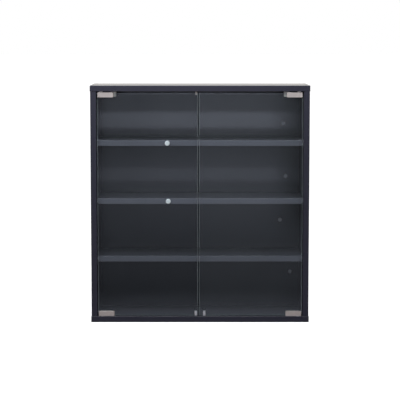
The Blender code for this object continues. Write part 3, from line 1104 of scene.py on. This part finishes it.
# Each lamp's name, place, aim, size and power in watts
LAMPS = (
    ("key_softbox", (-0.15, -0.85, 1.65), (0, 0, 0.35), (1.6, 0.7), 29.0),
    ("front_softbox", (-0.2, -3.0, 1.3), (0, 0, 0.4), (1.2, 0.8), 4.0),
    ("rear_softbox", (0.0, 2.0, 2.2), (0, 0, 0.3), (2.0, 1.0), 14.0),
)


def make_floor():
    shape = bmesh.new()
    bmesh.ops.create_circle(shape, cap_ends=True, segments=96, radius=FLOOR_REACH)
    floor = object_from(shape, "studio_floor")
    floor.data.materials.append(look("pale_floor"))
    floor.visible_glossy = False
    floor.visible_diffuse = False


def make_room_light():
    """A white backdrop for the camera, and for all else a dim room with strips of light."""
    world = bpy.data.worlds.new("studio")
    world.use_nodes = True
    tree = world.node_tree
    tree.nodes.clear()
    way = Signal(tree).add("TexCoord", output="Generated")
    rise = way.add("SeparateXYZ", sockets={0: way}, output="Z")
    aside = way.add("SeparateXYZ", sockets={0: way}, output="X")
    ahead = way.add("SeparateXYZ", sockets={0: way}, output="Y")
    low, high = (math.sin(math.radians(ROOM_LIGHT[end][0])) for end in (0, -1))
    stops = [
        ((math.sin(math.radians(angle)) - low) / (high - low), (light,) * 3)
        for angle, light in ROOM_LIGHT
    ]
    level = way.add("ValToRGB", {"stops": stops}, {0: (rise - low) / (high - low)})
    ends = aside.spread(*STRIPS_LEFT_END) * aside.spread(*STRIPS_RIGHT_END)
    above = rise.spread(*ABOVE_STRIPS)
    even = above + rise.spread(*BELOW_STRIPS)
    behind = ahead.spread(*BACKDROP_START) * above
    near_floor = rise.spread(*FLOOR_START)
    strips = level * (ends + even * (1 - ends))
    strength = strips + behind * BACKDROP_LIGHT + near_floor * FLOOR_LIGHT
    front_tint = near_floor.between(ROOM_TINT, FLOOR_TINT)
    tint = behind.between(front_tint, BACKDROP_TINT)
    room = way.add("Background", sockets={"Color": tint, "Strength": strength})
    white = way.add("Background", sockets={"Color": (1, 1, 1), "Strength": 1.0})
    seen = way.add("LightPath", output="Is Camera Ray")
    mixed = way.add("MixShader", sockets={0: seen, 1: room, 2: white})
    output = tree.nodes.new("ShaderNodeOutputWorld")
    tree.links.new(mixed.socket, output.inputs["Surface"])
    bpy.context.scene.world = world


def add_lamp(name, place, aim, size, power):
    lamp = bpy.data.lights.new(name, "AREA")
    lamp.shape = "RECTANGLE"
    lamp.size, lamp.size_y = size
    lamp.energy = power
    lamp.color = LAMP_TINT
    made = bpy.data.objects.new(name, lamp)
    made.location = place
    made.rotation_euler = (Vector(aim) - Vector(place)).to_track_quat("-Z", "Y").to_euler()
    made.visible_camera = False
    bpy.context.scene.collection.objects.link(made)


def make_camera():
    camera = bpy.data.cameras.new("camera")
    camera.lens = CAMERA_LENS
    camera.shift_y = CAMERA_SHIFT
    camera.clip_end = 200.0
    made = bpy.data.objects.new("camera", camera)
    made.location = CAMERA_PLACE
    made.rotation_euler = (math.radians(90 - CAMERA_TILT), 0, 0)
    bpy.context.scene.collection.objects.link(made)
    bpy.context.scene.camera = made


# ---------------- operators


class CABINET_OT_make_case(bpy.types.Operator):
    """Make the top, the bottom and the sides, with their edge bands, groove and bores"""

    bl_idname = "cabinet.make_case"
    bl_label = "Case Boards"

    def execute(self, context):
        make_case_boards(context.scene.cabinet_sizes)
        return {"FINISHED"}


class CABINET_OT_make_shelves(bpy.types.Operator):
    """Make the three shelves with their paler front bands, and finish their dowels"""

    bl_idname = "cabinet.make_shelves"
    bl_label = "Shelves and Dowels"

    def execute(self, context):
        make_shelf_boards(context.scene.cabinet_sizes)
        finish_dowels()
        return {"FINISHED"}


class CABINET_OT_make_back(bpy.types.Operator):
    """Make the lacquered back panel and the caps over its fixing holes"""

    bl_idname = "cabinet.make_back"
    bl_label = "Back Panel and Caps"

    def execute(self, context):
        make_back_sheet(context.scene.cabinet_sizes)
        make_hole_caps()
        return {"FINISHED"}


class CABINET_OT_make_leaves(bpy.types.Operator):
    """Make the two glass leaves with their ground rims"""

    bl_idname = "cabinet.make_leaves"
    bl_label = "Glass Leaves"

    def execute(self, context):
        make_leaves(context.scene.cabinet_sizes)
        return {"FINISHED"}


class CABINET_OT_make_clamps(bpy.types.Operator):
    """Make the four glass clamps and their grub screws"""

    bl_idname = "cabinet.make_clamps"
    bl_label = "Glass Clamps"

    def execute(self, context):
        make_glass_clamps(context.scene.cabinet_sizes)
        return {"FINISHED"}


class CABINET_OT_make_pivots(bpy.types.Operator):
    """Make the hinge pins and the bushes that they turn in"""

    bl_idname = "cabinet.make_pivots"
    bl_label = "Hinge Pins and Bushes"

    def execute(self, context):
        make_pivots()
        return {"FINISHED"}


class CABINET_OT_make_latch(bpy.types.Operator):
    """Make the touch latch, its plungers and the clips that they meet"""

    bl_idname = "cabinet.make_latch"
    bl_label = "Touch Latch and Clips"

    def execute(self, context):
        make_touch_latch()
        make_clips(context.scene.cabinet_sizes)
        return {"FINISHED"}


class CABINET_OT_make_stops(bpy.types.Operator):
    """Make the door stops under the top board, and the buffers on the shelves"""

    bl_idname = "cabinet.make_stops"
    bl_label = "Stops and Buffers"

    def execute(self, context):
        make_door_stops(context.scene.cabinet_sizes)
        make_shelf_buffers()
        return {"FINISHED"}


class CABINET_OT_make_screws(bpy.types.Operator):
    """Make the eight long screws that hold the case together"""

    bl_idname = "cabinet.make_screws"
    bl_label = "Case Screws"

    def execute(self, context):
        make_case_screws()
        return {"FINISHED"}


class CABINET_OT_make_stage(bpy.types.Operator):
    """Make the pale floor, the soft light and the camera"""

    bl_idname = "cabinet.make_stage"
    bl_label = "Studio"

    def execute(self, context):
        make_floor()
        make_room_light()
        for lamp in LAMPS:
            add_lamp(*lamp)
        make_camera()
        context.scene.view_settings.view_transform = "Standard"
        return {"FINISHED"}


MAKERS = (
    CABINET_OT_make_stage,
    CABINET_OT_make_case,
    CABINET_OT_make_shelves,
    CABINET_OT_make_back,
    CABINET_OT_make_leaves,
    CABINET_OT_make_clamps,
    CABINET_OT_make_pivots,
    CABINET_OT_make_latch,
    CABINET_OT_make_stops,
    CABINET_OT_make_screws,
)


class CABINET_PT_pieces(bpy.types.Panel):
    """Lists the cabinet's makers, sizes and colours"""

    bl_label = "Display Cabinet"
    bl_idname = "CABINET_PT_pieces"
    bl_space_type = "VIEW_3D"
    bl_region_type = "UI"
    bl_category = "Cabinet"

    def draw(self, context):
        column = self.layout.column()
        for maker in MAKERS:
            column.operator(maker.bl_idname)
        for group in (context.scene.cabinet_sizes, context.scene.cabinet_colours):
            column.separator()
            for name in group.__annotations__:
                column.prop(group, name)


CLASSES = (CabinetSizes, CabinetColours, *MAKERS, CABINET_PT_pieces)


def register():
    for part in CLASSES:
        bpy.utils.register_class(part)
    bpy.types.Scene.cabinet_sizes = PointerProperty(type=CabinetSizes)
    bpy.types.Scene.cabinet_colours = PointerProperty(type=CabinetColours)


def unregister():
    del bpy.types.Scene.cabinet_colours
    del bpy.types.Scene.cabinet_sizes
    for part in reversed(CLASSES):
        bpy.utils.unregister_class(part)


def main():
    register()
    for maker in MAKERS:
        group, name = maker.bl_idname.split(".")
        getattr(getattr(bpy.ops, group), name)()


if __name__ == "__main__":
    main()
